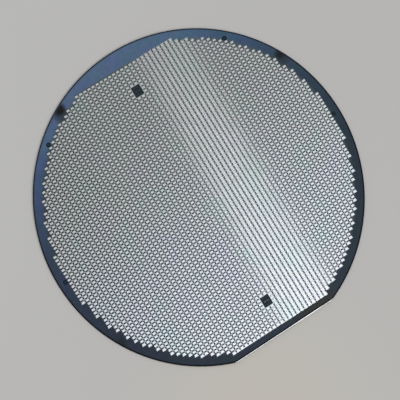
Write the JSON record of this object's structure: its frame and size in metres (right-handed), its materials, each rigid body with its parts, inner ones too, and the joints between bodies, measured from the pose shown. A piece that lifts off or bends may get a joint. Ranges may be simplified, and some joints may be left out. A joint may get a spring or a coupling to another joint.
{
  "type": "silicon wafer",
  "caption": "Thin round silicon slice with one straight flat, a rounded edge, a field of small rectangular dies in columns, two dark test sites and round alignment marks.",
  "frame": {"origin": "centre of the wafer's circle, on its back face", "axes": "+Z out of the patterned face, +X along the primary flat, which faces -Y"},
  "size_m": [0.125, 0.1213, 0.0007],
  "materials": {
    "silicon": "polished silicon under a thin steel-blue oxide film",
    "die_film": "bright metallised die film with faint interference colours",
    "test_film": "dark oxide film with low contact bars",
    "mark_film": "black round marks"
  },
  "bodies": {
    "root": {"silicon_slice": "silicon", "die_columns": "die_film", "test_sites": "test_film", "alignment_marks": "mark_film"}
  },
  "joints": []
}
